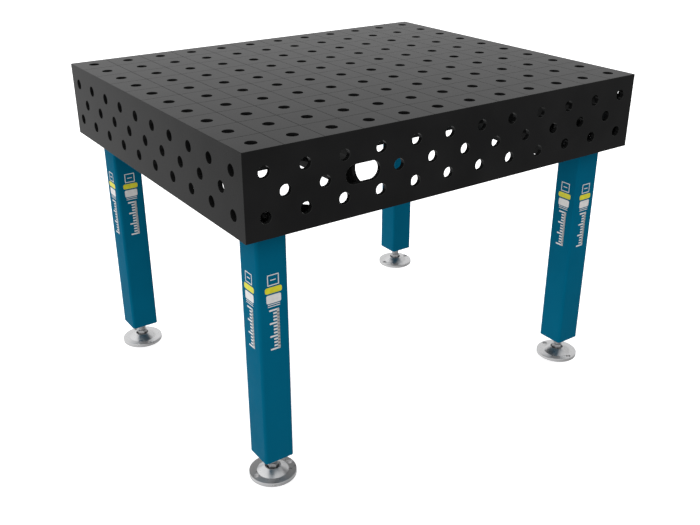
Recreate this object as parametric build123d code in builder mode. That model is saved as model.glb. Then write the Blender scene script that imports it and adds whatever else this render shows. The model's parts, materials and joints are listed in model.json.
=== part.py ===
"""Welding table: a ribbed, perforated steel box on four square legs with levelling feet.

Millimetres, +Z up. The origin is on the floor, under the centre of the table.
X runs along the long side, Y from the front wall to the back wall.
"""

import os
from math import cos, radians, sqrt

from build123d import *

os.makedirs("parts", exist_ok=True)

# ------------------------------------------------------------------ driving sizes
# Table box
length = 1200.0  # along X
depth = 1000.0  # along Y
box_height = 200.0  # working face down to the walls' lower edge
plate = 12.0  # top plate and walls
table_height = 880.0  # floor to working face, feet screwed in

# Clamping holes and grid lines
hole_d = 28.0
pitch = 100.0  # hole to hole, both ways
row_drop = 50.0  # hole row to hole row down the walls
line_width = 1.4
line_deep = 0.4

# Hand slot, in place of one hole of the front wall's second row
slot_from_centre = -300.0
slot_length = 94.0
slot_height = 46.0

# Ribs
rib = 10.0  # rib thickness
rib_line = 3  # grid line that a rib stands on, counted from the nearest wall
long_rib_drop = 161.0  # working face down to the long ribs' lower edge
cross_rib_drops = {"left": 155.0, "right": 181.0}
rib_slot_gap = 0.4  # added to a half-lap slot's width and depth
rib_relief_r = 26.0  # clearance round a wall hole at a rib's end

# Corner plates, which carry the legs
corner_thick = 15.0
corner_gap = 3.0  # corner plate's tip to the nearest rib
corner_edge = 10.0  # leg's inner corner to the plate's slanted edge, at least

# Legs
leg = 80.0  # square tube, outside
leg_wall = 4.0
leg_radius = 8.0
leg_inset = 47.0  # table side to the tube's outer face
leg_bottom = 64.0  # floor to the tube's lower end
head_plate_thick = 20.0  # closes the tube's top and takes the leg screws
end_plate_thick = 12.0  # closes its lower end and takes the foot
plug_gap = 0.2  # all round, either plate inside the tube

# Leg screws, M12, put in from inside the box
screw_d = 12.0
screw_hole_d = 13.0
screw_in = 16.0  # tube's outer face in to a screw's centre, both ways
screw_grip = 16.0  # length in the head plate
screw_head_af = 19.0
screw_head = 7.5
washer_d = 24.0
washer_thick = 2.5
screw_tap_gap = 0.05  # radial, screw to tapped hole

# Levelling foot, M24
thread_d = 24.0
thread_gap = 0.05  # radial, spindle to end plate and nut
stud_end = 150.0  # floor to the stud's top end
stud_chamfer = 1.5
nut_af = 36.0
nut_thick = 12.0
hex_af = 27.0
hex_low = 18.0  # floor to the hexagon's underside
hex_high = 35.0
foot_d = 120.0
foot_thick = 10.6
foot_chamfer = 0.8
boss_low_d = 77.0
boss_high_d = 42.0
boss_high = 23.4  # floor to the boss's top edge
recess_d = 37.0
recess_floor = 15.4
anchor_d = 13.0
anchor_circle = 98.0
anchor_turn = {"front_left": 0.0, "front_right": 90.0, "back_left": 90.0, "back_right": 0.0}

# Ball seat in the foot plate
ball_r = 10.0
ball_centre = 10.2
ball_low = 3.6  # floor to the ball's lower flat
ball_high = 15.6  # floor to the ball's upper flat
ball_gap = 0.3  # ball to pocket and ring
pocket_floor = 2.0
journal_d = 10.0
journal_gap = 0.05  # radial
rivet_r = 6.3  # riveted end of the spindle, under the seat
rivet_thick = 1.4
rivet_gap = 0.15
ring_d = 26.0
ring_low = 14.0
ring_thick = 1.2

# ------------------------------------------------------------------ worked out from them
box_low = table_height - box_height
under_plate = table_height - plate
wall_height = box_height - plate
inner_length = length - 2 * plate
inner_depth = depth - 2 * plate
columns = int(length // pitch)
rows = int(depth // pitch)
wall_rows = int((box_height - row_drop) // row_drop)
leg_x = length / 2 - leg_inset - leg / 2
leg_y = depth / 2 - leg_inset - leg / 2
plug_side = leg - 2 * leg_wall - 2 * plug_gap
screw_spacing = leg - 2 * screw_in
corners = {
    "front_left": (-1, -1),
    "front_right": (1, -1),
    "back_left": (-1, 1),
    "back_right": (1, 1),
}


def hole_places(count):
    """Places of count holes on one line, spaced by the pitch and centred."""
    return [pitch * (i - (count - 1) / 2) for i in range(count)]


def line_places(count):
    """Places of the grid lines halfway between count holes."""
    return [pitch * (i - count / 2) for i in range(1, count)]


def save(part, name):
    """Label one finished piece and write it."""
    part.label = name
    export_step(part, f"parts/{name}.step")


# ------------------------------------------------------------------ top plate
with BuildPart() as top_plate:
    with BuildSketch(Plane.XY.offset(under_plate)):
        Rectangle(length, depth)
        with GridLocations(pitch, pitch, columns, rows):
            Circle(hole_d / 2, mode=Mode.SUBTRACT)
    extrude(amount=plate)
    with BuildSketch(Plane.XY.offset(table_height)):
        for x in line_places(columns):
            with Locations((x, 0)):
                Rectangle(line_width, depth)
        for y in line_places(rows):
            with Locations((0, y)):
                Rectangle(length, line_width)
    extrude(amount=-line_deep, mode=Mode.SUBTRACT)
save(top_plate.part, "top_plate")


# ------------------------------------------------------------------ skirt walls
def wall_rows_of_holes(count):
    """Hole centres (along the wall, down from the working face), every second row shifted."""
    places = []
    for row in range(1, wall_rows + 1):
        row_count = count if row % 2 else count - 1
        places += [(along, -row * row_drop) for along in hole_places(row_count)]
    return places


front_holes = wall_rows_of_holes(columns)
slot_place = min(
    (place for place in front_holes if place[1] == -2 * row_drop),
    key=lambda place: abs(place[0] - slot_from_centre),
)
front_holes.remove(slot_place)

walls = {
    # name: outer face's plane, width, hole centres
    "front_wall": (Plane((0, -depth / 2, table_height), (1, 0, 0), (0, -1, 0)), length, front_holes),
    "back_wall": (
        Plane((0, depth / 2, table_height), (-1, 0, 0), (0, 1, 0)),
        length,
        wall_rows_of_holes(columns),
    ),
    "left_wall": (
        Plane((-length / 2, 0, table_height), (0, -1, 0), (-1, 0, 0)),
        inner_depth,
        wall_rows_of_holes(rows),
    ),
    "right_wall": (
        Plane((length / 2, 0, table_height), (0, 1, 0), (1, 0, 0)),
        inner_depth,
        wall_rows_of_holes(rows),
    ),
}
for name, (face, width, holes) in walls.items():
    with BuildPart() as wall:
        with BuildSketch(face):
            with Locations((0, -plate - wall_height / 2)):
                Rectangle(width, wall_height)
            with Locations(*holes):
                Circle(hole_d / 2, mode=Mode.SUBTRACT)
            if name == "front_wall":
                with Locations(slot_place):
                    SlotOverall(slot_length, slot_height, mode=Mode.SUBTRACT)
        extrude(amount=-plate)
    save(wall.part, name)

# ------------------------------------------------------------------ ribs
# The ribs stand on the grid lines, so no clamping hole of the top plate meets one. A long
# rib is slotted from below and a cross rib from above, and they drop into each other.
rib_lines = (rib_line - 1, -rib_line)
long_rib_y = [line_places(rows)[i] for i in rib_lines]
cross_rib_x = [line_places(columns)[i] for i in rib_lines]
lap_drop = (plate + min(cross_rib_drops.values())) / 2


def rib_outline(run, drop, crossings, slot_top, slot_bottom):
    """One rib's outline, drawn from the working face: X along the rib, Y up."""
    with Locations((0, -(plate + drop) / 2)):
        Rectangle(run, drop - plate)
    for place in crossings:
        with Locations((place, -(slot_top + slot_bottom) / 2)):
            Rectangle(rib + rib_slot_gap, slot_bottom - slot_top, mode=Mode.SUBTRACT)
    with Locations((-run / 2, -2 * row_drop), (run / 2, -2 * row_drop)):
        Circle(rib_relief_r, mode=Mode.SUBTRACT)


for side, y in zip(("front", "back"), long_rib_y):
    with BuildPart() as long_rib:
        with BuildSketch(Plane((0, y, table_height), (1, 0, 0), (0, -1, 0))):
            rib_outline(inner_length, long_rib_drop, cross_rib_x, lap_drop, long_rib_drop)
        extrude(amount=rib / 2, both=True)
    save(long_rib.part, f"long_rib_{side}")

for side, x in zip(("left", "right"), cross_rib_x):
    with BuildPart() as cross_rib:
        with BuildSketch(Plane((x, 0, table_height), (0, 1, 0), (1, 0, 0))):
            rib_outline(
                inner_depth, cross_rib_drops[side], long_rib_y, plate, lap_drop + rib_slot_gap
            )
        extrude(amount=rib / 2, both=True)
    save(cross_rib.part, f"cross_rib_{side}")

# ------------------------------------------------------------------ corner plates and legs
# A corner plate is a triangle in the bay between the walls and the outermost ribs. Where the
# leg needs more room, the slanted edge moves out and the bay cuts the tips.
bay_x = inner_length / 2 - cross_rib_x[-1] - rib / 2
bay_y = inner_depth / 2 - long_rib_y[-1] - rib / 2
corner_side = min(bay_x, bay_y) - corner_gap
leg_from_wall = leg_inset + leg - plate  # wall's inner face to the leg's farther side
corner_reach = max(corner_side, 2 * leg_from_wall + sqrt(2) * corner_edge)
hex_corner = 1 / cos(radians(30))  # corner radius of a hexagon whose flats are at radius 1


def leg_plane(side_x, side_y, height):
    """A level plane with its origin on a leg's own centre line."""
    return Plane((side_x * leg_x, side_y * leg_y, height))


def screw_square():
    """Places of one leg's four screws."""
    return GridLocations(screw_spacing, screw_spacing, 2, 2)


for name, (side_x, side_y) in corners.items():
    inner_x = side_x * inner_length / 2
    inner_y = side_y * inner_depth / 2
    with BuildPart() as corner_plate:
        with BuildSketch(Plane.XY.offset(box_low)):
            with BuildLine():
                Polyline(
                    (inner_x, inner_y),
                    (inner_x - side_x * corner_reach, inner_y),
                    (inner_x, inner_y - side_y * corner_reach),
                    close=True,
                )
            make_face()
            with Locations((inner_x, inner_y)):
                Rectangle(2 * corner_side, 2 * corner_side, mode=Mode.INTERSECT)
        extrude(amount=corner_thick)
        with BuildSketch(leg_plane(side_x, side_y, box_low)):
            with screw_square():
                Circle(screw_hole_d / 2)
        extrude(amount=corner_thick, mode=Mode.SUBTRACT)
    save(corner_plate.part, f"corner_plate_{name}")

    with BuildPart() as leg_tube:
        with BuildSketch(leg_plane(side_x, side_y, leg_bottom)):
            RectangleRounded(leg, leg, leg_radius)
            RectangleRounded(
                leg - 2 * leg_wall, leg - 2 * leg_wall, leg_radius - leg_wall, mode=Mode.SUBTRACT
            )
        extrude(amount=box_low - leg_bottom)
    save(leg_tube.part, f"leg_tube_{name}")

    with BuildPart() as head_plate:
        with BuildSketch(leg_plane(side_x, side_y, box_low)):
            RectangleRounded(plug_side, plug_side, leg_radius - leg_wall)
            with screw_square():
                Circle(screw_d / 2 + screw_tap_gap, mode=Mode.SUBTRACT)
        extrude(amount=-head_plate_thick)
    save(head_plate.part, f"leg_head_plate_{name}")

    with BuildPart() as end_plate:
        with BuildSketch(leg_plane(side_x, side_y, leg_bottom)):
            RectangleRounded(plug_side, plug_side, leg_radius - leg_wall)
            Circle(thread_d / 2 + thread_gap, mode=Mode.SUBTRACT)
        extrude(amount=end_plate_thick)
    save(end_plate.part, f"leg_end_plate_{name}")

# ------------------------------------------------------------------ leg screws and washers
leg_centres = [(side_x * leg_x, side_y * leg_y) for side_x, side_y in corners.values()]
washer_low = box_low + corner_thick
head_low = washer_low + washer_thick

with BuildPart() as leg_washers:
    with BuildSketch(Plane.XY.offset(washer_low)):
        with Locations(*leg_centres):
            with screw_square():
                Circle(washer_d / 2)
                Circle(screw_hole_d / 2, mode=Mode.SUBTRACT)
    extrude(amount=washer_thick)
save(leg_washers.part, "leg_washers")

with BuildPart() as leg_screws:
    with BuildSketch(Plane.XY.offset(head_low)):
        with Locations(*leg_centres):
            with screw_square():
                RegularPolygon(screw_head_af / 2 * hex_corner, 6)
    extrude(amount=screw_head)
    with BuildSketch(Plane.XY.offset(head_low)):
        with Locations(*leg_centres):
            with screw_square():
                Circle(screw_d / 2)
    extrude(amount=-(washer_thick + corner_thick + screw_grip))
save(leg_screws.part, "leg_screws")

# ------------------------------------------------------------------ levelling feet
# The spindle turns in the ball seat, and the foot plate swivels round the seat's sphere.
# The retaining ring keeps the sphere in its pocket.
nut_low = leg_bottom - nut_thick
journal_r = journal_d / 2
ball_high_r = sqrt(ball_r**2 - (ball_high - ball_centre) ** 2)
pocket_r = ball_r + ball_gap
ring_hole_r = sqrt(pocket_r**2 - (ring_low - ball_centre) ** 2)


def upright_plane(side_x, side_y):
    """A plane through a foot's axis: X outwards from the axis, Y up from the floor."""
    return Plane((side_x * leg_x, side_y * leg_y, 0), (1, 0, 0), (0, -1, 0))


def band(inner, outer, low, high, mode=Mode.ADD):
    """A rectangle on an upright plane, which makes a ring or a disc when it is revolved."""
    with Locations(((inner + outer) / 2, (low + high) / 2)):
        Rectangle(outer - inner, high - low, mode=mode)


for name, (side_x, side_y) in corners.items():
    foot_axis = Axis((side_x * leg_x, side_y * leg_y, 0), (0, 0, 1))

    with BuildPart() as lock_nut:
        with BuildSketch(leg_plane(side_x, side_y, nut_low)):
            RegularPolygon(nut_af / 2 * hex_corner, 6)
            Circle(thread_d / 2 + thread_gap, mode=Mode.SUBTRACT)
        extrude(amount=nut_thick)
    save(lock_nut.part, f"lock_nut_{name}")

    with BuildPart() as spindle:
        with BuildSketch(leg_plane(side_x, side_y, hex_low)):
            RegularPolygon(hex_af / 2 * hex_corner, 6)
        extrude(amount=hex_high - hex_low)
        with BuildSketch(upright_plane(side_x, side_y)):
            band(0, thread_d / 2, hex_high, stud_end)
            band(0, ball_high_r, ball_high + rivet_gap, hex_low)
            band(0, journal_r, ball_low, ball_high + rivet_gap)
            band(0, rivet_r, ball_low, ball_low + rivet_thick)
        revolve(axis=foot_axis)
        chamfer(spindle.faces().sort_by(Axis.Z)[-1].edges(), stud_chamfer)
    save(spindle.part, f"foot_spindle_{name}")

    with BuildPart() as ball_seat:
        with BuildSketch(upright_plane(side_x, side_y)):
            with Locations((0, ball_centre)):
                Circle(ball_r)
            band(journal_r + journal_gap, ball_r, ball_low, ball_high, mode=Mode.INTERSECT)
            rivet_room = ball_low + rivet_thick + rivet_gap
            band(0, rivet_r + rivet_gap, ball_low, rivet_room, mode=Mode.SUBTRACT)
        revolve(axis=foot_axis)
    save(ball_seat.part, f"ball_seat_{name}")

    with BuildPart() as ring:
        with BuildSketch(leg_plane(side_x, side_y, ring_low)):
            Circle(ring_d / 2)
            Circle(ring_hole_r, mode=Mode.SUBTRACT)
        extrude(amount=ring_thick)
    save(ring.part, f"retaining_ring_{name}")

    with BuildPart() as foot_plate:
        with BuildSketch(upright_plane(side_x, side_y)):
            band(0, foot_d / 2, 0, foot_thick)
            with BuildLine():
                Polyline(
                    (0, foot_thick),
                    (boss_low_d / 2, foot_thick),
                    (boss_high_d / 2, boss_high),
                    (0, boss_high),
                    close=True,
                )
            make_face()
            band(0, recess_d / 2, recess_floor, boss_high, mode=Mode.SUBTRACT)
            band(0, ring_d / 2, ring_low, recess_floor, mode=Mode.SUBTRACT)
            band(0, pocket_r, ball_centre, ring_low, mode=Mode.SUBTRACT)
            with BuildSketch(mode=Mode.PRIVATE) as pocket:
                with Locations((0, ball_centre)):
                    Circle(pocket_r)
                band(0, pocket_r, pocket_floor, ball_centre, mode=Mode.INTERSECT)
            add(pocket.sketch, mode=Mode.SUBTRACT)
        revolve(axis=foot_axis)
        rims = foot_plate.edges().filter_by(GeomType.CIRCLE)
        chamfer([edge for edge in rims if abs(edge.radius - foot_d / 2) < 0.01], foot_chamfer)
        with BuildSketch(leg_plane(side_x, side_y, 0)):
            with PolarLocations(anchor_circle / 2, 2, start_angle=anchor_turn[name]):
                Circle(anchor_d / 2)
        extrude(amount=foot_thick, mode=Mode.SUBTRACT)
    save(foot_plate.part, f"foot_plate_{name}")
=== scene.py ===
# %% [markdown]
# # A welding table, piece by piece
# The real table is a perforated steel box on four square legs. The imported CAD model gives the
# main sizes and every moving body. This lesson models the surfaces that a buyer sees and touches
# around that frame: the drilled plates, the painted legs, the threaded feet and their finishes.

# %% Load the frame
import json
from math import asin, cos, pi, radians, sin, sqrt, tan

import bmesh
import bpy
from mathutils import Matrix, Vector


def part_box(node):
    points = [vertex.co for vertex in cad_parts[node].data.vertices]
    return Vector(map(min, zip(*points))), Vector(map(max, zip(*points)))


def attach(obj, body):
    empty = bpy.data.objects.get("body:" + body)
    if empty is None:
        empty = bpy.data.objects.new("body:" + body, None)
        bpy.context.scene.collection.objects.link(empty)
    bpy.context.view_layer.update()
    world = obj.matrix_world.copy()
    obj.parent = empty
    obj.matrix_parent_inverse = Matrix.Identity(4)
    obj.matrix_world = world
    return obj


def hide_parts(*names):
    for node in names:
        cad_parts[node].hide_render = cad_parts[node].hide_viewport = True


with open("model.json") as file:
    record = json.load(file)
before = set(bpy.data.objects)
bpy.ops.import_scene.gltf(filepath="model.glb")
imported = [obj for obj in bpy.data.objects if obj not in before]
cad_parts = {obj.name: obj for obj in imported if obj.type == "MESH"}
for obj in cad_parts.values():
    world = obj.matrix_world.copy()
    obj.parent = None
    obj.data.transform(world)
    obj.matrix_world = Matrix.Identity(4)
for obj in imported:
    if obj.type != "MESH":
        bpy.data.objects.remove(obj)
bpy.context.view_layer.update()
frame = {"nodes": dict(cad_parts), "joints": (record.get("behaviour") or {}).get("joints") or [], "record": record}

# %% [markdown]
# ## Sizes
# The main sizes are read from the frame, so that they follow a changed CAD model. The mounts in
# the record give the holes, and the boxes of the nodes give the plates, legs and feet. Smaller
# sizes that neither of them gives, such as a thread or a chamfer, are named where they are used.

# %% Sizes from the frame
mounts = {mount["name"]: mount for mount in frame["record"]["mounts"]}
top_low, top_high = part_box("top_plate")
wall_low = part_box("front_wall")[0]
tube_low, tube_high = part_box("leg_tube_front_left")
working_face = top_high.z
plate = top_high.z - top_low.z
half_length, half_depth = top_high.x, top_high.y
hole_r = mounts["centre_hole_front_left"]["dims"]["r_mm"] / 1000
pitch = 2 * abs(mounts["centre_hole_front_left"]["pos_m"][0])
columns = round(2 * half_length / pitch)
rows = round(2 * half_depth / pitch)
row_drop = pitch / 2
leg = tube_high.x - tube_low.x
corners = ("front_left", "front_right", "back_left", "back_right")
leg_places = {corner: mounts[f"floor_anchor_{corner}"]["pos_m"] for corner in corners}
print("holes", columns, "x", rows, "radius", hole_r, "pitch", pitch, "leg", round(leg, 4))

# %% [markdown]
# ## Working as by hand
# Each helper is one habit of a person at the screen: clear the selection, take one piece, pick
# what lies in a certain place, finish with a modifier, and leave the piece's place in its mesh.

# %% Helpers for selecting
tiny = 0.00002  # points nearer than this are one point


def start_clean():
    """Leave edit mode and let go of everything."""
    if bpy.context.object and bpy.context.object.mode == "EDIT":
        bpy.ops.object.mode_set(mode="OBJECT")
    bpy.ops.object.select_all(action="DESELECT")


def take(piece):
    """Select one piece alone."""
    start_clean()
    piece.select_set(True)
    bpy.context.view_layer.objects.active = piece


def edit(piece):
    """Open one piece in edit mode with nothing selected."""
    take(piece)
    bpy.ops.object.mode_set(mode="EDIT")
    bpy.ops.mesh.select_all(action="DESELECT")


def pick(kind, test):
    """In edit mode, select the vertices, edges or faces whose middle passes the test."""
    bpy.ops.mesh.select_mode(type=kind)
    bpy.ops.mesh.select_all(action="DESELECT")
    shape = bmesh.from_edit_mesh(bpy.context.object.data)
    chosen = 0
    for item in {"VERT": shape.verts, "EDGE": shape.edges, "FACE": shape.faces}[kind]:
        points = [item.co] if kind == "VERT" else [corner.co for corner in item.verts]
        if test(sum(points, Vector()) / len(points), item):
            item.select_set(True)
            chosen += 1
    bmesh.update_edit_mesh(bpy.context.object.data)
    return chosen


# %% Helpers for finishing and placing
def finish_with(piece, kind, **settings):
    """Add one modifier, set it and apply it."""
    take(piece)
    bpy.ops.object.modifier_add(type=kind)
    modifier = piece.modifiers[-1]
    for setting, value in settings.items():
        setattr(modifier, setting, value)
    bpy.ops.object.modifier_apply(modifier=modifier.name)


def settle(piece, place=(0, 0, 0), turn=(0, 0, 0)):
    """Turn and move a piece, and leave both in its mesh."""
    take(piece)
    piece.rotation_euler = turn
    piece.location = place
    bpy.ops.object.transform_apply(location=True, rotation=True, scale=True)
    return piece


def copy_of(piece, name, place=(0, 0, 0), turn=(0, 0, 0)):
    """A copy with its own mesh, put in its own place."""
    take(piece)
    bpy.ops.object.duplicate(linked=False)
    twin = bpy.context.object
    twin.name = name
    return settle(twin, place, turn)


def join(pieces, name):
    """Join several pieces into one."""
    take(pieces[0])
    for piece in pieces:
        piece.select_set(True)
    bpy.ops.object.join()
    pieces[0].name = name
    return pieces[0]


def scrap(piece):
    """Throw away a pattern piece or a cutting tool."""
    take(piece)
    bpy.ops.object.delete()


def shade(angle):
    """Shade smooth across every edge whose angle is smaller, in degrees."""
    bpy.ops.object.shade_smooth_by_angle(angle=radians(angle))


def tidy_faces():
    """In edit mode: merge doubles and point all faces outwards; then shade by angle."""
    bpy.ops.mesh.select_all(action="SELECT")
    bpy.ops.mesh.remove_doubles(threshold=tiny)
    bpy.ops.mesh.normals_make_consistent(inside=False)
    bpy.ops.object.mode_set(mode="OBJECT")
    shade(20)


# %% [markdown]
# ## Rings and turned parts
# A hole, a foot and a nut blank are all rings of edges, extruded from radius to radius and from
# height to height, as a lathe tool would follow them. One helper does that for every round part.

# %% Helpers for turned shapes
def follow(outline):
    """From a selected ring at the outline's first point, extrude rings to the other points."""
    for (radius, height), (next_radius, next_height) in zip(outline, outline[1:]):
        bpy.ops.mesh.extrude_edges_move()
        grow = next_radius / radius
        bpy.ops.transform.resize(value=(grow, grow, 1), center_override=(0, 0, 0))
        bpy.ops.transform.translate(value=(0, 0, next_height - height))


def turn_part(name, outline, sides):
    """Turn a solid round the Z axis. The outline is (radius, height) from one end to the other."""
    start_clean()
    radius, height = outline[0]
    bpy.ops.mesh.primitive_circle_add(
        vertices=sides, radius=radius, fill_type="NOTHING", location=(0, 0, 0)
    )
    part = bpy.context.object
    part.name = name
    bpy.ops.object.mode_set(mode="EDIT")
    bpy.ops.transform.translate(value=(0, 0, height))
    follow(outline)
    pick("EDGE", lambda p, edge: edge.is_boundary)
    bpy.ops.mesh.fill_holes(sides=0)
    tidy_faces()
    return part


# %% [markdown]
# ## Finishes
# Every finish is a Principled shader fed by noise on Object coordinates. The helpers make the
# noise, turn it into two tones of a colour, and turn it into a small range of roughness.
# Numbers that are the same all over a surface are set on the shader's own sockets.

# %% Helpers for materials
def new_finish(name, metallic=0.0, specular=0.5):
    """A material with its shader, ready for noise."""
    material = bpy.data.materials.new(name)
    material.use_nodes = True
    shader = material.node_tree.nodes["Principled BSDF"]
    shader.inputs["Metallic"].default_value = metallic
    shader.inputs["Specular IOR Level"].default_value = specular
    return material, shader


def add_noise(material, size, detail=4.0):
    """Noise whose grains are about size metres across."""
    nodes, links = material.node_tree.nodes, material.node_tree.links
    place = nodes.new("ShaderNodeTexCoord")
    mapping = nodes.new("ShaderNodeMapping")
    mapping.inputs["Scale"].default_value = [1 / size] * 3
    noise = nodes.new("ShaderNodeTexNoise")
    noise.inputs["Scale"].default_value = 1.0
    noise.inputs["Detail"].default_value = detail
    links.new(place.outputs["Object"], mapping.inputs["Vector"])
    links.new(mapping.outputs["Vector"], noise.inputs["Vector"])
    return noise.outputs["Fac"]


def add_tones(material, shader, factor, dark, light):
    """Colour between two tones. Most noise lies between 0.35 and 0.65, so the ramp does too."""
    nodes, links = material.node_tree.nodes, material.node_tree.links
    ramp = nodes.new("ShaderNodeValToRGB")
    for stop, position, tone in zip(ramp.color_ramp.elements, (0.35, 0.65), (dark, light)):
        stop.position = position
        stop.color = (*tone, 1)
    links.new(factor, ramp.inputs["Fac"])
    links.new(ramp.outputs["Color"], shader.inputs["Base Color"])


def add_roughness(material, shader, factor, low, high):
    """Roughness between two values."""
    nodes, links = material.node_tree.nodes, material.node_tree.links
    spread = nodes.new("ShaderNodeMapRange")
    spread.inputs["From Min"].default_value = 0.3
    spread.inputs["From Max"].default_value = 0.7
    spread.inputs["To Min"].default_value = low
    spread.inputs["To Max"].default_value = high
    links.new(factor, spread.inputs["Value"])
    links.new(spread.outputs["Result"], shader.inputs["Roughness"])


def add_bump(material, shader, factor, strength, depth):
    """Fine relief, depth in metres."""
    nodes, links = material.node_tree.nodes, material.node_tree.links
    bump = nodes.new("ShaderNodeBump")
    bump.inputs["Strength"].default_value = strength
    bump.inputs["Distance"].default_value = depth
    links.new(factor, bump.inputs["Height"])
    links.new(bump.outputs["Normal"], shader.inputs["Normal"])


def paint(piece, *materials):
    """Give a piece its materials, in place of any that it has."""
    piece.data.materials.clear()
    for material in materials:
        piece.data.materials.append(material)


# %% [markdown]
# ### Nitrided steel
# The plates are plasma nitrided: almost black, satin, with cloudy patches a hand wide and a very
# fine grain. A thin film of oil lies on them, so they shine grey where they are seen from low
# down and stay black where they are seen straight on. A coat with a low IOR gives that. The rims
# of the holes are partly rubbed by clamps and partly painted with highlight and shade, lighter and
# darker than the plate in patches, and the engraved lines are burnt matt black.

# %% Black steel of the plates
def grey(level, cool=0.0):
    """A grey with as much red as green, and a little more blue where it is cool."""
    return level, level, level + cool


def nitrided_finish():
    """Cloudy black steel under a film of oil."""
    material, shader = new_finish("nitrided_steel", specular=0.0)
    clouds = add_noise(material, size=0.11, detail=6.0)
    add_tones(material, shader, clouds, dark=grey(0.0088, 0.0002), light=grey(0.0118, 0.0002))
    patches = add_noise(material, size=0.05, detail=5.0)
    add_roughness(material, shader, patches, low=0.47, high=0.54)
    shader.inputs["Coat Weight"].default_value = 0.48
    shader.inputs["Coat Roughness"].default_value = 0.12
    shader.inputs["Coat IOR"].default_value = 1.25
    grain = add_noise(material, size=0.0007, detail=2.0)
    add_bump(material, shader, grain, strength=0.12, depth=0.0001)
    return material


def worn_rim_with_painted_light_finish():
    """Black steel at the hole rims: partly rubbed wear, partly a painted highlight and painted shade."""
    material, shader = new_finish("worn_rim_with_painted_light", metallic=0.3, specular=0.2)
    rubs = add_noise(material, size=0.004)
    # The light and dark tones of the rims are partly rubbed wear and partly painted highlight and painted shade.
    add_tones(material, shader, rubs, dark=grey(0.006), light=grey(0.03))
    add_roughness(material, shader, add_noise(material, size=0.002), low=0.3, high=0.45)
    return material


def line_finish():
    """The matt black of a burnt line."""
    material, shader = new_finish("engraved_line", specular=0.1)
    soot = add_noise(material, size=0.001)
    add_tones(material, shader, soot, dark=grey(0.002), light=grey(0.006))
    shader.inputs["Roughness"].default_value = 0.9
    return material


nitrided = nitrided_finish()
worn_rim_with_painted_light = worn_rim_with_painted_light_finish()
engraved = line_finish()
print("plate finishes:", nitrided.name, worn_rim_with_painted_light.name, engraved.name)

# %% [markdown]
# ### Paint, plating and bright steel
# The legs are powder coated: a deep blue with the faint orange peel of baked powder. Lock nuts and
# screws are zinc plated, the spindle is turned steel under a film of oil, and the foot plates are
# turned bright, with fine rings round their own axis. The ball seats are bearing bronze and their
# retaining rings spring steel. The marks on the legs are white and yellow vinyl film.

# %% Painted and bright finishes
rings_per_metre = 1800.0


def powder_finish():
    """Baked blue powder with its orange peel."""
    material, shader = new_finish("blue_powder_coat", specular=0.014)
    tones = add_noise(material, size=0.09)
    add_tones(material, shader, tones, dark=(0.0, 0.106, 0.192), light=(0.0, 0.113, 0.203))
    add_roughness(material, shader, add_noise(material, size=0.03), low=0.5, high=0.6)
    peel = add_noise(material, size=0.0022, detail=1.0)
    add_bump(material, shader, peel, strength=0.1, depth=0.00012)
    return material


def metal_finish(name, dark, light, grain, roughness):
    """Bare or plated metal, whose tone and roughness change with the same grain."""
    material, shader = new_finish(name, metallic=1.0)
    factor = add_noise(material, grain)
    add_tones(material, shader, factor, dark, light)
    add_roughness(material, shader, factor, *roughness)
    fine_grain = add_noise(material, grain / 4, detail=2.0)
    add_bump(material, shader, fine_grain, strength=0.08, depth=0.00006)
    return material


def film_finish(name, dark, light):
    """Printed vinyl film."""
    material, shader = new_finish(name, specular=0.4)
    factor = add_noise(material, size=0.01)
    add_tones(material, shader, factor, dark, light)
    add_roughness(material, shader, factor, low=0.35, high=0.5)
    return material


def turned_finish(corner):
    """Bright steel with turning rings round one foot's own axis."""
    material, shader = new_finish(f"bright_turned_{corner}", metallic=1.0)
    nodes, links = material.node_tree.nodes, material.node_tree.links
    place = nodes.new("ShaderNodeTexCoord")
    centred = nodes.new("ShaderNodeMapping")
    centred.inputs["Location"].default_value = [-v for v in leg_places[corner]]
    centred.inputs["Scale"].default_value = (1, 1, 0)
    from_axis = nodes.new("ShaderNodeVectorMath")
    from_axis.operation = "LENGTH"
    rings = nodes.new("ShaderNodeTexNoise")
    rings.noise_dimensions = "1D"
    rings.inputs["Scale"].default_value = rings_per_metre
    rings.inputs["Detail"].default_value = 3.0
    links.new(place.outputs["Object"], centred.inputs["Vector"])
    links.new(centred.outputs["Vector"], from_axis.inputs[0])
    links.new(from_axis.outputs["Value"], rings.inputs["W"])
    tones = grey(0.47, 0.005), grey(0.56, 0.005)
    add_tones(material, shader, rings.outputs["Fac"], *tones)
    add_roughness(material, shader, add_noise(material, size=0.012), low=0.26, high=0.36)
    add_bump(material, shader, rings.outputs["Fac"], strength=0.06, depth=0.00005)
    return material


# %% Make each painted and bright finish
blue_powder = powder_finish()
zinc = metal_finish(
    "zinc_plate", (0.5, 0.51, 0.52), (0.68, 0.69, 0.7), grain=0.006, roughness=(0.28, 0.42)
)
spindle_steel = metal_finish(
    "oiled_steel", grey(0.46), grey(0.6, 0.01), grain=0.004, roughness=(0.3, 0.45)
)
bronze = metal_finish(
    "bearing_bronze", (0.42, 0.25, 0.09), (0.6, 0.38, 0.16), grain=0.003, roughness=(0.25, 0.4)
)
spring = metal_finish(
    "spring_steel", grey(0.08, 0.005), grey(0.16, 0.01), grain=0.002, roughness=(0.3, 0.45)
)
turned = {corner: turned_finish(corner) for corner in corners}
white_vinyl = film_finish("white_vinyl", (0.66, 0.65, 0.64), (0.74, 0.73, 0.72))
yellow_vinyl = film_finish("yellow_vinyl", (0.62, 0.58, 0.01), (0.72, 0.68, 0.02))
print(len(bpy.data.materials), "materials")

# %% [markdown]
# ## One tile of drilled plate
# A drilled plate could be cut with a hundred Booleans, but their long thin faces spoil the light
# at the rims. Here one square tile round one hole is modelled, with chamfered rims on both faces,
# and the plate is that tile repeated. The ring of edges ends in a square because it is extruded
# past the tile and cut off by four straight cuts, so every tile meets its neighbour point to point.

# %% Drilled and blank tiles
hole_sides = 40
rim = 0.0005
square_sides = ((1, 0, 0), (-1, 0, 0), (0, 1, 0), (0, -1, 0))


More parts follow.
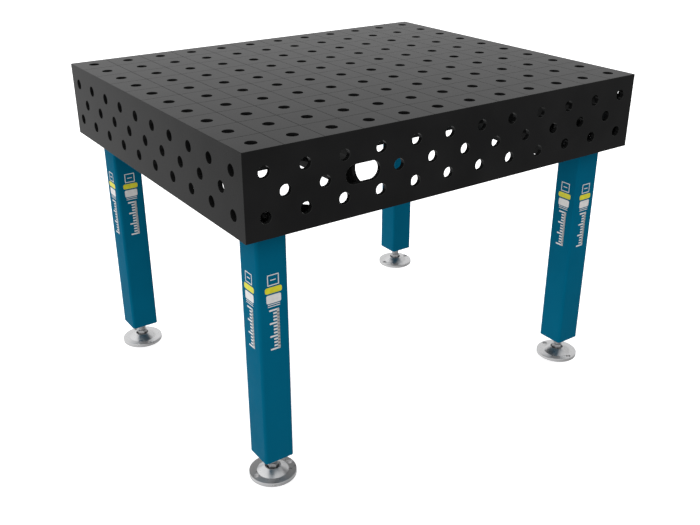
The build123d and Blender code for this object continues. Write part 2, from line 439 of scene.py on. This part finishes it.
def cut_square(half, clear):
    """Cut along the four sides of a square; clear what is outside it, or only draw the lines."""
    for side in square_sides:
        bpy.ops.mesh.select_all(action="SELECT")
        place = [half * along for along in side]
        bpy.ops.mesh.bisect(plane_co=place, plane_no=side, clear_outer=clear)


def bored_outline(radius, reach):
    """From the face above, through a chamfered hole, to the face below."""
    return [
        (reach, 0),
        (radius + rim, 0),
        (radius, -rim),
        (radius, rim - plate),
        (radius + rim, -plate),
        (reach, -plate),
    ]


def hole_tile(half):
    """One square of plate, 2 * half wide, with its upper face at Z = 0 and a hole in its middle."""
    start_clean()
    bpy.ops.mesh.primitive_circle_add(vertices=hole_sides, radius=2 * half, fill_type="NOTHING")
    tile = bpy.context.object
    bpy.ops.object.mode_set(mode="EDIT")
    follow(bored_outline(hole_r, 2 * half))
    cut_square(half, clear=True)
    bpy.ops.mesh.select_all(action="SELECT")
    bpy.ops.mesh.remove_doubles(threshold=tiny)
    return tile


def blank_tile(tile, half):
    """The same square without its hole: only the border is kept, and each face is filled."""
    blank = copy_of(tile, "blank_tile")
    edit(blank)
    pick("VERT", lambda p, v: abs(p.x) < half - tiny and abs(p.y) < half - tiny)
    bpy.ops.mesh.delete(type="VERT")
    for height in (0, -plate):
        pick("EDGE", lambda p, e: abs(p.z - height) < tiny)
        bpy.ops.mesh.edge_face_add()
    return blank


# %% Repeat a tile, close the plate and mark its rims
def repeat(piece, step, count):
    """Repeat a piece along a step, with its seams merged."""
    finish_with(
        piece,
        "ARRAY",
        use_relative_offset=False,
        use_constant_offset=True,
        constant_offset_displace=step,
        count=count,
        use_merge_vertices=True,
        merge_threshold=tiny,
    )


def close_sides():
    """In edit mode, join the upper outline to the lower one with the plate's edge faces."""
    pick("EDGE", lambda p, e: e.is_boundary and abs(p.z) < tiny)
    bpy.ops.mesh.extrude_edges_move()
    bpy.ops.transform.translate(value=(0, 0, -plate))
    bpy.ops.mesh.select_all(action="SELECT")
    bpy.ops.mesh.remove_doubles(threshold=tiny)
    bpy.ops.mesh.normals_make_consistent(inside=False)


def paint_rims_worn_and_lit(slot_number):
    """In edit mode, give the chamfers round the holes the rim steel: partly wear, partly painted highlight and
    shade.
    """
    # The rim chamfers get steel whose tone is partly wear and partly painted highlight and shade.
    pick("FACE", lambda p, f: 0.6 < abs(f.normal.z) < 0.8)
    bpy.context.object.active_material_index = slot_number
    bpy.ops.object.material_slot_assign()


# %% [markdown]
# ## Top plate
# The top is 12 by 10 tiles. Fine lines are engraved halfway between the holes, so each tile is
# also cut just inside its border, and the border is then lowered to a narrow groove. The groove
# runs out through the plate's edges, as an engraver's cut does.

# %% Model the top plate
line_width = 0.0014
line_deep = 0.0004
edge_break = 0.0008


def on_line(place):
    """Is this place on an engraved line inside the plate?"""
    for along, half in ((place.x, half_length), (place.y, half_depth)):
        if abs(along - pitch * round(along / pitch)) < tiny and abs(along) < half - tiny:
            return True
    return False


def near_line(place):
    """Is the middle of this face inside an engraved groove?"""
    for along, half in ((place.x, half_length), (place.y, half_depth)):
        away = abs(along - pitch * round(along / pitch))
        if away < line_width / 2 and abs(along) < half - line_width:
            return True
    return False


top_plate = hole_tile(pitch / 2)
cut_square(pitch / 2 - line_width / 2, clear=False)
settle(top_plate, (-half_length + pitch / 2, -half_depth + pitch / 2, 0))
repeat(top_plate, (pitch, 0, 0), columns)
repeat(top_plate, (0, pitch, 0), rows)
top_plate.name = "drilled_top_plate"
edit(top_plate)
close_sides()
grooved = pick("VERT", lambda p, v: abs(p.z) < tiny and on_line(p))
bpy.ops.transform.translate(value=(0, 0, -line_deep))
pick(
    "EDGE",
    lambda p, e: abs(p.z) < line_deep + tiny
    and (
        all(abs(abs(v.co.x) - half_length) < tiny for v in e.verts)
        or all(abs(abs(v.co.y) - half_depth) < tiny for v in e.verts)
    )
    and abs(e.verts[0].co.z - e.verts[1].co.z) < line_deep + tiny,
)
bpy.ops.mesh.bevel(offset=edge_break, segments=2)
paint(top_plate, nitrided, engraved, worn_rim_with_painted_light)
paint_rims_worn_and_lit(2)
pick("FACE", lambda p, f: p.z > -line_deep - tiny and f.normal.z < 0.95 and near_line(p))
top_plate.active_material_index = 1
bpy.ops.object.material_slot_assign()
tidy_faces()
settle(top_plate, (0, 0, working_face))
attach(top_plate, "table")
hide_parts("top_plate")
print("top plate", len(top_plate.data.polygons), "faces,", grooved, "groove points")

# %% [markdown]
# ## Skirt walls
# A wall has three rows of holes, and the middle row is shifted by half a pitch. Its tiles are
# half as wide, a drilled one beside a blank one. Each wall is modelled lying on its back with
# its outer face up, and stood up at the end. The front wall also has a long slot for the hand.

# %% Tiles of a wall
small = row_drop / 2
drilled = hole_tile(small)
blank = blank_tile(drilled, small)
wall_drop = working_face - wall_low.z
print("wall tiles", round(2 * small, 4), "m wide")


def wall_pattern(first):
    """Two columns of three tiles: hole, blank, hole, and then blank, hole, blank."""
    tiles = []
    for column in range(2):
        for row in range(3):
            tile = drilled if (column + row) % 2 == 0 else blank
            place = (first + column * row_drop, -(row + 1) * row_drop, 0)
            tiles.append(copy_of(tile, "tile", place))
    return join(tiles, "wall")


# %% The hand slot
slot_centre = (-0.3, -2 * row_drop)
slot_radius = 0.023
slot_stretch = 0.024  # each half of the round bore is moved out by this
slot_sides = 64


def slot_ring():
    """The slot's chamfered bore: a round one, whose two halves are moved apart."""
    start_clean()
    outline = bored_outline(slot_radius, 1)[1:-1]
    bpy.ops.mesh.primitive_circle_add(
        vertices=slot_sides, radius=outline[0][0], fill_type="NOTHING"
    )
    ring = bpy.context.object
    bpy.ops.object.mode_set(mode="EDIT")
    follow(outline)
    for side in (1, -1):
        pick("VERT", lambda p, v: p.x * side > tiny)
        bpy.ops.transform.translate(value=(side * slot_stretch, 0, 0))
    return settle(ring, (*slot_centre, 0))


def cut_slot(wall):
    """Open three tiles and set a long slot in their place."""
    middle_x, middle_y = slot_centre

    def in_window(p, slack=0.0):
        """Is this place in the three tiles that make room for the slot?"""
        return abs(p.x - middle_x) < 3 * small + slack and abs(p.y - middle_y) < small + slack

    edit(wall)
    pick("FACE", lambda p, f: in_window(p))
    bpy.ops.mesh.delete(type="FACE")
    join([wall, slot_ring()], wall.name)
    edit(wall)
    for height in (0, -plate):
        pick("EDGE", lambda p, e: e.is_boundary and abs(p.z - height) < tiny and in_window(p, tiny))
        bpy.ops.mesh.fill(use_beauty=True)


# %% One wall
def grow_border(test, step):
    """In edit mode, extrude the part of the outline that passes the test."""
    pick("EDGE", lambda p, e: e.is_boundary and test(p))
    bpy.ops.mesh.extrude_edges_move()
    bpy.ops.transform.translate(value=step)


def drilled_wall(name, count, width, turn, place, corners_free, slotted=False):
    """One wall, lying down at first: X along it, Y up, outer face at Z = 0.

    The long walls' upright corners are free, so their edges are broken too.
    """
    first = -(count - 1) / 2 * pitch
    wall = wall_pattern(first)
    repeat(wall, (pitch, 0, 0), count)
    wall.name = name
    edit(wall)
    bpy.ops.mesh.select_all(action="SELECT")
    bpy.ops.mesh.bisect(plane_co=(-first + small, 0, 0), plane_no=(1, 0, 0), clear_outer=True)
    bpy.ops.mesh.select_all(action="SELECT")
    bpy.ops.mesh.remove_doubles(threshold=tiny)
    margin = width / 2 + first - small
    for side in (1, -1):
        grow_border(lambda p: abs(p.x - side * (small - first)) < tiny, (side * margin, 0, 0))
    grow_border(lambda p: abs(p.y + small) < tiny, (0, small - plate, 0))
    foot = 3 * row_drop + small
    grow_border(lambda p: abs(p.y + foot) < tiny, (0, foot - wall_drop, 0))
    if slotted:
        cut_slot(wall)
    close_sides()
    pick(
        "EDGE",
        lambda p, e: abs(p.z) < tiny
        and (abs(p.y + wall_drop) < tiny or corners_free and abs(abs(p.x) - width / 2) < tiny),
    )
    bpy.ops.mesh.bevel(offset=edge_break, segments=2)
    paint(wall, nitrided, worn_rim_with_painted_light)
    paint_rims_worn_and_lit(1)
    tidy_faces()
    settle(wall, place, turn)
    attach(wall, "table")
    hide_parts(name.replace("drilled_", ""))
    print(name, len(wall.data.polygons), "faces")


# %% Stand the four walls up
upright = pi / 2
inner = 2 * (half_depth - plate)
drilled_wall(
    "drilled_front_wall", columns, 2 * half_length, (upright, 0, 0),
    (0, -half_depth, working_face), corners_free=True, slotted=True,
)
drilled_wall(
    "drilled_back_wall", columns, 2 * half_length, (upright, 0, pi),
    (0, half_depth, working_face), corners_free=True,
)
drilled_wall(
    "drilled_left_wall", rows, inner, (upright, 0, -pi / 2),
    (-half_length, 0, working_face), corners_free=False,
)
drilled_wall(
    "drilled_right_wall", rows, inner, (upright, 0, pi / 2),
    (half_length, 0, working_face), corners_free=False,
)
scrap(drilled)
scrap(blank)

# %% [markdown]
# ## Ribs, corner plates and end plates
# These are flat plates, and their CAD shape is right. Real sawn plate has its edges broken with a
# grinder, so each gets a copy whose coplanar triangles are dissolved and whose edges are bevelled.

# %% Break the edges of the plain plates
def softened(node, width, material):
    """A copy of a plain CAD plate with its sharp edges broken, standing for that plate."""
    start_clean()
    plain = bpy.data.objects.new(f"{node}_dressed", frame["nodes"][node].data.copy())
    bpy.context.scene.collection.objects.link(plain)
    edit(plain)
    bpy.ops.mesh.select_all(action="SELECT")
    bpy.ops.mesh.remove_doubles(threshold=tiny)
    bpy.ops.mesh.dissolve_limited(angle_limit=radians(1))
    bpy.ops.object.mode_set(mode="OBJECT")
    finish_with(
        plain, "BEVEL", width=width, segments=2, limit_method="ANGLE", angle_limit=radians(50)
    )
    shade(35)
    paint(plain, material)
    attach(plain, "table")
    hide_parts(node)


rib_break, corner_break, leg_plate_break = 0.0007, 0.001, 0.0006
ribs = ("long_rib_front", "long_rib_back", "cross_rib_left", "cross_rib_right")
for rib in ribs:
    softened(rib, rib_break, nitrided)
for corner in corners:
    softened(f"corner_plate_{corner}", corner_break, nitrided)
    softened(f"leg_head_plate_{corner}", leg_plate_break, blue_powder)
    softened(f"leg_end_plate_{corner}", leg_plate_break, blue_powder)
print(len(ribs), "ribs and", 3 * len(corners), "plates dressed")

# %% [markdown]
# ## Legs
# A leg is a square tube with rounded corners. It starts as a cube, its four upright edges are
# rounded by a bevel, its ends are opened, and a Solidify modifier gives it its wall.

# %% Model one leg tube and copy it
leg_wall = 0.004
leg_radius = 0.008
leg_break = 0.0004
tube_length = tube_high.z - tube_low.z
start_clean()
bpy.ops.mesh.primitive_cube_add(size=1, location=(0, 0, 0))
tube = bpy.context.object
tube.name = "tube_pattern"
tube.scale = (leg, leg, tube_length)
settle(tube, (0, 0, tube_low.z + tube_length / 2))
edit(tube)
pick("EDGE", lambda p, e: abs(e.verts[0].co.z - e.verts[1].co.z) > tube_length / 2)
bpy.ops.mesh.bevel(offset=leg_radius, segments=8)
pick("FACE", lambda p, f: abs(f.normal.z) > 0.9)
bpy.ops.mesh.delete(type="ONLY_FACE")
bpy.ops.object.mode_set(mode="OBJECT")
finish_with(tube, "SOLIDIFY", thickness=leg_wall, offset=-1)
finish_with(
    tube, "BEVEL", width=leg_break, segments=2, limit_method="ANGLE", angle_limit=radians(60)
)
shade(30)
paint(tube, blue_powder)
for corner, place in leg_places.items():
    leg_tube = copy_of(tube, f"painted_leg_{corner}", place)
    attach(leg_tube, "table")
    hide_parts(f"leg_tube_{corner}")
scrap(tube)
print("legs", round(tube_length, 3), "m long")

# %% [markdown]
# ## Hexagons
# A real nut is a hexagonal bar whose corners are turned off at 30 degrees at each end. It is made
# the same way here: a six-sided cylinder, intersected with a turned blank.

# %% Helper for hexagons
chamfer_angle = radians(30)
spare = 0.001  # a blank is longer than the part cut from it, at each end


def cut_with(piece, tool, operation):
    """Cut a piece with a tool, and throw the tool away."""
    finish_with(piece, "BOOLEAN", object=tool, operation=operation, solver="EXACT")
    scrap(tool)


def hexagon(name, flats, low, high):
    """A hexagonal bar end: the chamfer leaves a round face a little narrower than the flats."""
    corner_r = flats / 2 / cos(radians(30))
    face_r = 0.475 * flats
    wide_r = 1.03 * corner_r
    fall = (wide_r - face_r) * tan(chamfer_angle)
    start_clean()
    bpy.ops.mesh.primitive_cylinder_add(
        vertices=6, radius=corner_r, depth=high - low + 2 * spare,
        location=(0, 0, (low + high) / 2),
    )
    bar = bpy.context.object
    bar.name = name
    settle(bar, bar.location.copy())
    outline = [(face_r, low), (wide_r, low + fall), (wide_r, high - fall), (face_r, high)]
    cut_with(bar, turn_part("blank", outline, 72), "INTERSECT")
    return bar


# %% [markdown]
# ## Lock nuts and screws
# The lock nut gets a bore with countersunk ends. The leg screws are one hexagon screw and one flat
# washer, each copied to sixteen places on the corner plates and joined, because the record keeps
# all the screws as one node and all the washers as another. They are put in from inside the box,
# so nothing shows beside the legs.

# %% Model the lock nuts
thread_r = 0.012
nut_low, nut_high = (corner_point.z for corner_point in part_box("lock_nut_front_left"))
nut_flats = 0.036
nut = hexagon("nut_pattern", nut_flats, nut_low, nut_high)
sink = 0.0012
bore_r = thread_r + 0.00005  # just clear of the thread
bore = [
    (thread_r + 2 * sink, nut_low - sink),
    (bore_r, nut_low + sink),
    (bore_r, nut_high - sink),
    (thread_r + 2 * sink, nut_high + sink),
]
cut_with(nut, turn_part("bore", bore, 64), "DIFFERENCE")
take(nut)
shade(25)
paint(nut, zinc)
for corner, place in leg_places.items():
    copy = copy_of(nut, f"chamfered_lock_nut_{corner}", place)
    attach(copy, f"lock_nut_{corner}")
    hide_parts(f"lock_nut_{corner}")
scrap(nut)
print("lock nuts from", round(nut_low, 4), "to", round(nut_high, 4))

# %% Model the leg screws and their washers
screws_low, screws_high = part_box("leg_screws")
washers_low, washers_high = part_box("leg_washers")
screw_r = 0.006
screw_flats = 0.019
screw_tip = 0.001
washer_r = 0.012
washer_hole_r = 0.0065
washer_edge = 0.0004
screw_spread = washers_high.x - washer_r - leg_places["front_right"][0]
screw = hexagon("screw_pattern", screw_flats, washers_high.z, screws_high.z)
shank_outline = [
    (screw_r - screw_tip, screws_low.z),
    (screw_r, screws_low.z + screw_tip),
    (screw_r, washers_high.z),
]
screw = join([screw, turn_part("shank", shank_outline, 32)], "screw_pattern")
washer_outline = [
    (washer_hole_r, washers_low.z),
    (washer_r - washer_edge, washers_low.z),
    (washer_r, washers_low.z + washer_edge),
    (washer_r, washers_high.z - washer_edge),
    (washer_r - washer_edge, washers_high.z),
    (washer_hole_r, washers_high.z),
    (washer_hole_r, washers_low.z),
]
start_clean()
bpy.ops.mesh.primitive_circle_add(vertices=48, radius=washer_hole_r, fill_type="NOTHING")
washer = bpy.context.object
washer.name = "washer_pattern"
bpy.ops.object.mode_set(mode="EDIT")
bpy.ops.transform.translate(value=(0, 0, washers_low.z))
follow(washer_outline)
tidy_faces()
take(screw)
shade(25)
print("leg screws", round(screws_high.z - screws_low.z, 4), "m long")


# %% Copy them to all four legs
def sixteen(pattern, name, node):
    """Copy a pattern to every screw place and join the copies into one piece."""
    copies = []
    for x, y, _ in leg_places.values():
        for side_x in (-1, 1):
            for side_y in (-1, 1):
                spot = (x + side_x * screw_spread, y + side_y * screw_spread, 0)
                copies.append(copy_of(pattern, "copy", spot))
    group = join(copies, name)
    paint(group, zinc)
    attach(group, "table")
    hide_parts(node)
    scrap(pattern)


sixteen(screw, "hexagon_leg_screws", "leg_screws")
sixteen(washer, "flat_leg_washers", "leg_washers")
print("screws spread", round(screw_spread, 4))

# %% [markdown]
# ## Threaded spindles
# The stud has a real screw thread. Its flank is drawn over one pitch, wound up by a Screw
# modifier, cut off square at both ends, and chamfered at the top by a turned blank. The hexagon
# for the spanner and the neck are joined to it. The neck goes down through the ball seat as a
# journal, and its end is riveted under the seat, so that the seat stays on.

# %% Draw a line point by point
def draw_line(points):
    """A line of edges: a small plane merged into one vertex, then extruded from point to point."""
    start_clean()
    bpy.ops.mesh.primitive_plane_add(size=spare, location=(0, 0, 0))
    line = bpy.context.object
    bpy.ops.object.mode_set(mode="EDIT")
    bpy.ops.mesh.select_mode(type="VERT")
    bpy.ops.mesh.select_all(action="SELECT")
    bpy.ops.mesh.merge(type="CENTER")
    bpy.ops.transform.translate(value=points[0])
    for start, end in zip(points, points[1:]):
        bpy.ops.mesh.extrude_vertices_move()
        bpy.ops.transform.translate(value=Vector(end) - Vector(start))
    bpy.ops.object.mode_set(mode="OBJECT")
    return line


# %% Wind the stud's thread
spindle_low, spindle_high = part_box("foot_spindle_front_left")
thread_pitch = 0.003
thread_deep = 0.541 * thread_pitch
hex_low, hex_high = 0.018, 0.035
stud_top = spindle_high.z
root_r = thread_r - thread_deep
root, flank, crest = thread_pitch / 4, thread_pitch * 5 / 16, thread_pitch / 8
thread_steps = 32
start_z = hex_high - 2 * thread_pitch  # the open start of the helix ends below the first cut
profile = [
    (root_r, 0, start_z),
    (root_r, 0, start_z + root),
    (thread_r, 0, start_z + root + flank),
    (thread_r, 0, start_z + root + flank + crest),
    (root_r, 0, start_z + thread_pitch),
]
stud = draw_line(profile)
stud.name = "stud"
finish_with(
    stud,
    "SCREW",
    angle=2 * pi,
    screw_offset=thread_pitch,
    iterations=int((stud_top - start_z) / thread_pitch) + 2,
    steps=thread_steps,
    render_steps=thread_steps,
    use_merge_vertices=True,
    merge_threshold=tiny,
)
edit(stud)
bpy.ops.mesh.select_all(action="SELECT")
bpy.ops.mesh.remove_doubles(threshold=tiny)
for height, side in ((hex_high - spare / 2, -1), (stud_top + spare / 2, 1)):
    bpy.ops.mesh.select_all(action="SELECT")
    bpy.ops.mesh.bisect(
        plane_co=(0, 0, height), plane_no=(0, 0, side), clear_outer=True, use_fill=True
    )
bpy.ops.mesh.select_all(action="SELECT")
bpy.ops.mesh.normals_make_consistent(inside=False)
bpy.ops.object.mode_set(mode="OBJECT")
lead = 0.002  # length of the chamfer at the stud's top
overlap = 0.0002  # what is joined runs this far into its neighbour
blank_r = thread_r + 0.0003
stud_blank = [
    (blank_r, hex_high - overlap),
    (blank_r, stud_top - lead),
    (root_r - overlap, stud_top),
]
cut_with(stud, turn_part("stud_blank", stud_blank, 64), "INTERSECT")
stud_low = min(v.co.z for v in stud.data.vertices)
print("stud from", round(stud_low, 4), "to", round(stud_top, 4))

# %% Join the hexagon and the neck to it, and copy the spindle
hex_flats = 0.027
ball_r, ball_mid, ball_high = 0.010, 0.0102, 0.0156
journal_r = 0.005
rivet_r, rivet_thick = 0.0063, 0.0014
neck_low = 0.01575
neck_r = sqrt(ball_r**2 - (ball_high - ball_mid) ** 2)
neck_outline = [
    (rivet_r, spindle_low.z),
    (rivet_r, spindle_low.z + rivet_thick),
    (journal_r, spindle_low.z + rivet_thick),
    (journal_r, neck_low),
    (neck_r, neck_low),
    (neck_r, hex_low + overlap),
]
hexagon_part = hexagon("hexagon_part", hex_flats, hex_low, hex_high)
neck = turn_part("neck", neck_outline, 48)
spindle = join([stud, hexagon_part, neck], "spindle_pattern")
shade(28)
paint(spindle, spindle_steel)
for corner, place in leg_places.items():
    copy = copy_of(spindle, f"threaded_spindle_{corner}", place)
    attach(copy, f"spindle_{corner}")
    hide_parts(f"foot_spindle_{corner}")
scrap(spindle)
print("spindles", round(stud_top - spindle_low.z, 4), "m long")

# %% [markdown]
# ## Foot plates
# A foot plate is turned from one disc: a flat flange, a cone, and a recess in which the hexagon
# sits. Its outline starts at the flange's lower edge and ends on the floor of the ball's pocket,
# and both ends are filled flat. Two countersunk holes take floor anchors, along X or along Y as
# the record's mount says.

# %% Turn one foot plate
foot_low, foot_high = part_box("foot_plate_front_left")
foot_r = (foot_high.x - foot_low.x) / 2
foot_thick = 0.0106
boss_low_r, boss_high_r = 0.0385, 0.021
recess_r, recess_floor = 0.0185, 0.0154
ring_r, ring_low = 0.013, 0.014
pocket_r, pocket_floor = 0.0103, 0.002
soft = 0.0008


def pocket_arc(steps):
    """Points down the ball's pocket, from the ring's seat to the flat at its bottom."""
    start, end = (asin((height - ball_mid) / pocket_r) for height in (ring_low, pocket_floor))
    angles = [start + (end - start) * i / steps for i in range(steps + 1)]
    return [(pocket_r * cos(angle), ball_mid + pocket_r * sin(angle)) for angle in angles]


foot_outline = [
    (foot_r - soft, 0),
    (foot_r, soft),
    (foot_r, foot_thick - soft),
    (foot_r - soft, foot_thick),
    (boss_low_r + 2 * soft, foot_thick),
    (boss_low_r, foot_thick + soft),
    (boss_high_r + soft, foot_high.z - soft),
    (boss_high_r - soft / 2, foot_high.z),
    (recess_r + soft / 2, foot_high.z),
    (recess_r, foot_high.z - soft),
    (recess_r, recess_floor),
    (ring_r, recess_floor),
    (ring_r, ring_low),
    *pocket_arc(8),
]
foot = turn_part("foot_pattern", foot_outline, 96)
print("foot", round(2 * foot_r, 3), "m wide")

# %% Drill its anchor holes and copy it
anchor = mounts["floor_anchor_front_left"]["dims"]
anchor_r = anchor["hole_r_mm"] / 1000
anchor_away = anchor["spacing_x_mm"] / 2000
anchor_tool = [
    (anchor_r, -2 * spare),
    (anchor_r, foot_thick - soft),
    (anchor_r + 3 * soft, foot_thick + 2 * soft),
]
for side in (-1, 1):
    tool = turn_part("anchor_tool", anchor_tool, 32)
    settle(tool, (side * anchor_away, 0, 0))
    cut_with(foot, tool, "DIFFERENCE")
take(foot)
shade(30)
for corner, place in leg_places.items():
    along_y = "spacing_y_mm" in mounts[f"floor_anchor_{corner}"]["dims"]
    quarter_turn = (0, 0, pi / 2 if along_y else 0)
    copy = copy_of(foot, f"turned_foot_{corner}", place, quarter_turn)
    paint(copy, turned[corner])
    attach(copy, f"foot_{corner}")
    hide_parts(f"foot_plate_{corner}")
    paint(frame["nodes"][f"ball_seat_{corner}"], bronze)
    paint(frame["nodes"][f"retaining_ring_{corner}"], spring)
scrap(foot)
print("anchor holes", round(2 * anchor_away, 3), "m apart")

# %% [markdown]
# ## Marks on the legs
# Three legs carry printed vinyl marks on their front and left faces. They are plain ones here: a
# hollow square with a dash in it, a yellow bar, a white block, two rules, and a scale of short
# and long ticks on a spine. The mark is modelled lying down, as thin tiles of film with rounded
# corners, and each copy is stood up against its face.

# %% Helpers for film
film = 0.00018


def film_tile(width, height, middle, radius):
    """One rounded piece of film."""
    start_clean()
    bpy.ops.mesh.primitive_cube_add(size=1, location=(0, 0, 0))
    tile = bpy.context.object
    tile.scale = (width, height, film)
    settle(tile, (*middle, film / 2))
    edit(tile)
    pick("EDGE", lambda p, e: abs(e.verts[0].co.z - e.verts[1].co.z) > film / 2)
    bpy.ops.mesh.bevel(offset=radius, segments=4)
    bpy.ops.object.mode_set(mode="OBJECT")
    return tile


def film_frame(width, height, middle, stroke):
    """A hollow square of film, as four strips."""
    x, y = middle
    reach_x, reach_y = (width - stroke) / 2, (height - stroke) / 2
    strips = []
    for side in (-1, 1):
        strips.append(film_tile(width, stroke, (x, y + side * reach_y), stroke / 3))
        strips.append(film_tile(stroke, height - 2 * stroke, (x + side * reach_x, y), stroke / 3))
    return strips


# %% Model one mark
square_width, square_height, stroke = 0.03, 0.027, 0.0022
square_middle = (0, -square_height / 2)
tick_long, tick_short, tick_thick = 0.026, 0.016, 0.0042
tick_top, tick_step, ticks = -0.0895, 0.0084, 13
tick_corner = 0.0012
spine_width, spine_length = 0.006, (ticks - 1) * tick_step


def white_tiles():
    """The white parts of the mark; Y = 0 is its top."""
    tiles = film_frame(square_width, square_height, square_middle, stroke)
    tiles.append(film_tile(0.014, stroke, square_middle, 0.0007))
    tiles.append(film_tile(0.038, 0.021, (0, -0.0605), 0.004))
    for rule_place in (-0.0745, -0.0795):
        tiles.append(film_tile(0.032, 0.0018, (0, rule_place), 0.0006))
    for i in range(ticks):
        width = tick_long if i % 4 == 0 else tick_short
        middle = ((tick_long - width) / 2, tick_top - i * tick_step)
        tiles.append(film_tile(width, tick_thick, middle, tick_corner))
    spine_middle = (tick_long / 2 - spine_width / 2, tick_top - spine_length / 2)
    tiles.append(film_tile(spine_width, spine_length, spine_middle, tick_corner))
    return tiles


white = white_tiles()
yellow = film_tile(0.044, 0.015, (0, -0.0385), 0.005)
for tile in white:
    paint(tile, white_vinyl)
paint(yellow, yellow_vinyl)
mark = join([*white, yellow], "mark_pattern")
print("mark of", len(white) + 1, "tiles")

# %% Stand its copies up
mark_top = tube_high.z - 0.109
faces = {"left": ((-1, 0), -pi / 2), "front": ((0, -1), 0)}
for corner in ("front_left", "front_right", "back_left"):
    for face, (outward, turn_z) in faces.items():
        x = leg_places[corner][0] + outward[0] * leg / 2
        y = leg_places[corner][1] + outward[1] * leg / 2
        copy = copy_of(mark, f"leg_mark_{corner}_{face}", (x, y, mark_top), (upright, 0, turn_z))
        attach(copy, "table")
scrap(mark)
print("tops of the marks", round(mark_top, 3), "m above the floor")

# %% [markdown]
# ## Floor and light
# The floor is a plain pale sheet. It is kept out of reflections, so that the
# black walls stay black. It shows no shadow, so it can lie as low as the feet reach when they are
# screwed right out and tilted, and never hides them. The light is one large soft sky that is
# brightest above and behind the left end, and darkest in front, as from a big softbox.

# %% Stage
slides = [joint["range_m"][1] for joint in frame["joints"] if joint["type"] == "slide"]
tilts = [joint["range_deg"][1] for joint in frame["joints"] if "tilt" in joint["name"]]
foot_reach = max(slides) + foot_r * sin(radians(max(tilts)))
floor_size = 60
start_clean()
bpy.ops.mesh.primitive_plane_add(size=floor_size)
floor = settle(bpy.context.object, (0, 0, -foot_reach))
floor.name = "floor"
floor_finish, floor_shader = new_finish("pale_floor", specular=0.0)
floor_shader.inputs["Base Color"].default_value = (0.9, 0.9, 0.9, 1)
floor_shader.inputs["Roughness"].default_value = 1.0
floor_shader.inputs["Emission Color"].default_value = (1, 1, 1, 1)
floor_shader.inputs["Emission Strength"].default_value = 0.6
paint(floor, floor_finish)
floor.visible_glossy = False
floor.visible_diffuse = False
print("floor", round(foot_reach, 4), "m below the feet at rest")

# %% Sky
light_from = Vector((-0.55, 0.5, 0.67)).normalized()
sky_middle = 0.95
sky_swing = 0.456
world = bpy.data.worlds.new("studio_sky")
bpy.context.scene.world = world
world.use_nodes = True
nodes, links = world.node_tree.nodes, world.node_tree.links
background = nodes["Background"]
direction = nodes.new("ShaderNodeTexCoord")
towards = nodes.new("ShaderNodeVectorMath")
towards.operation = "DOT_PRODUCT"
towards.inputs[1].default_value = light_from
level = nodes.new("ShaderNodeMath")
level.operation = "MULTIPLY_ADD"
level.inputs[1].default_value = sky_swing
level.inputs[2].default_value = sky_middle
links.new(direction.outputs["Generated"], towards.inputs[0])
links.new(towards.outputs["Value"], level.inputs[0])
links.new(level.outputs["Value"], background.inputs["Strength"])
background.inputs["Color"].default_value = (1, 1, 1, 1)
print("sky from", round(sky_middle - sky_swing, 3), "to", round(sky_middle + sky_swing, 3))

# %% [markdown]
# ## Camera
# The camera stands in front of the left corner at about shoulder height, and looks down at the
# table through a lens close to a normal one.

# %% Camera and view
camera_place = (-1.3798, -1.9904, 1.4180)
camera_turn = (radians(65.02), 0, radians(-34.995))
bpy.ops.object.camera_add(location=camera_place, rotation=camera_turn)
camera = bpy.context.object
camera.data.lens = 45.142
camera.data.sensor_width = 36
camera.data.clip_end = 200
scene = bpy.context.scene
scene.camera = camera
scene.view_settings.view_transform = "Standard"
scene.view_settings.look = "None"
print("camera", camera_place[2], "m up, lens", round(camera.data.lens, 1), "mm")
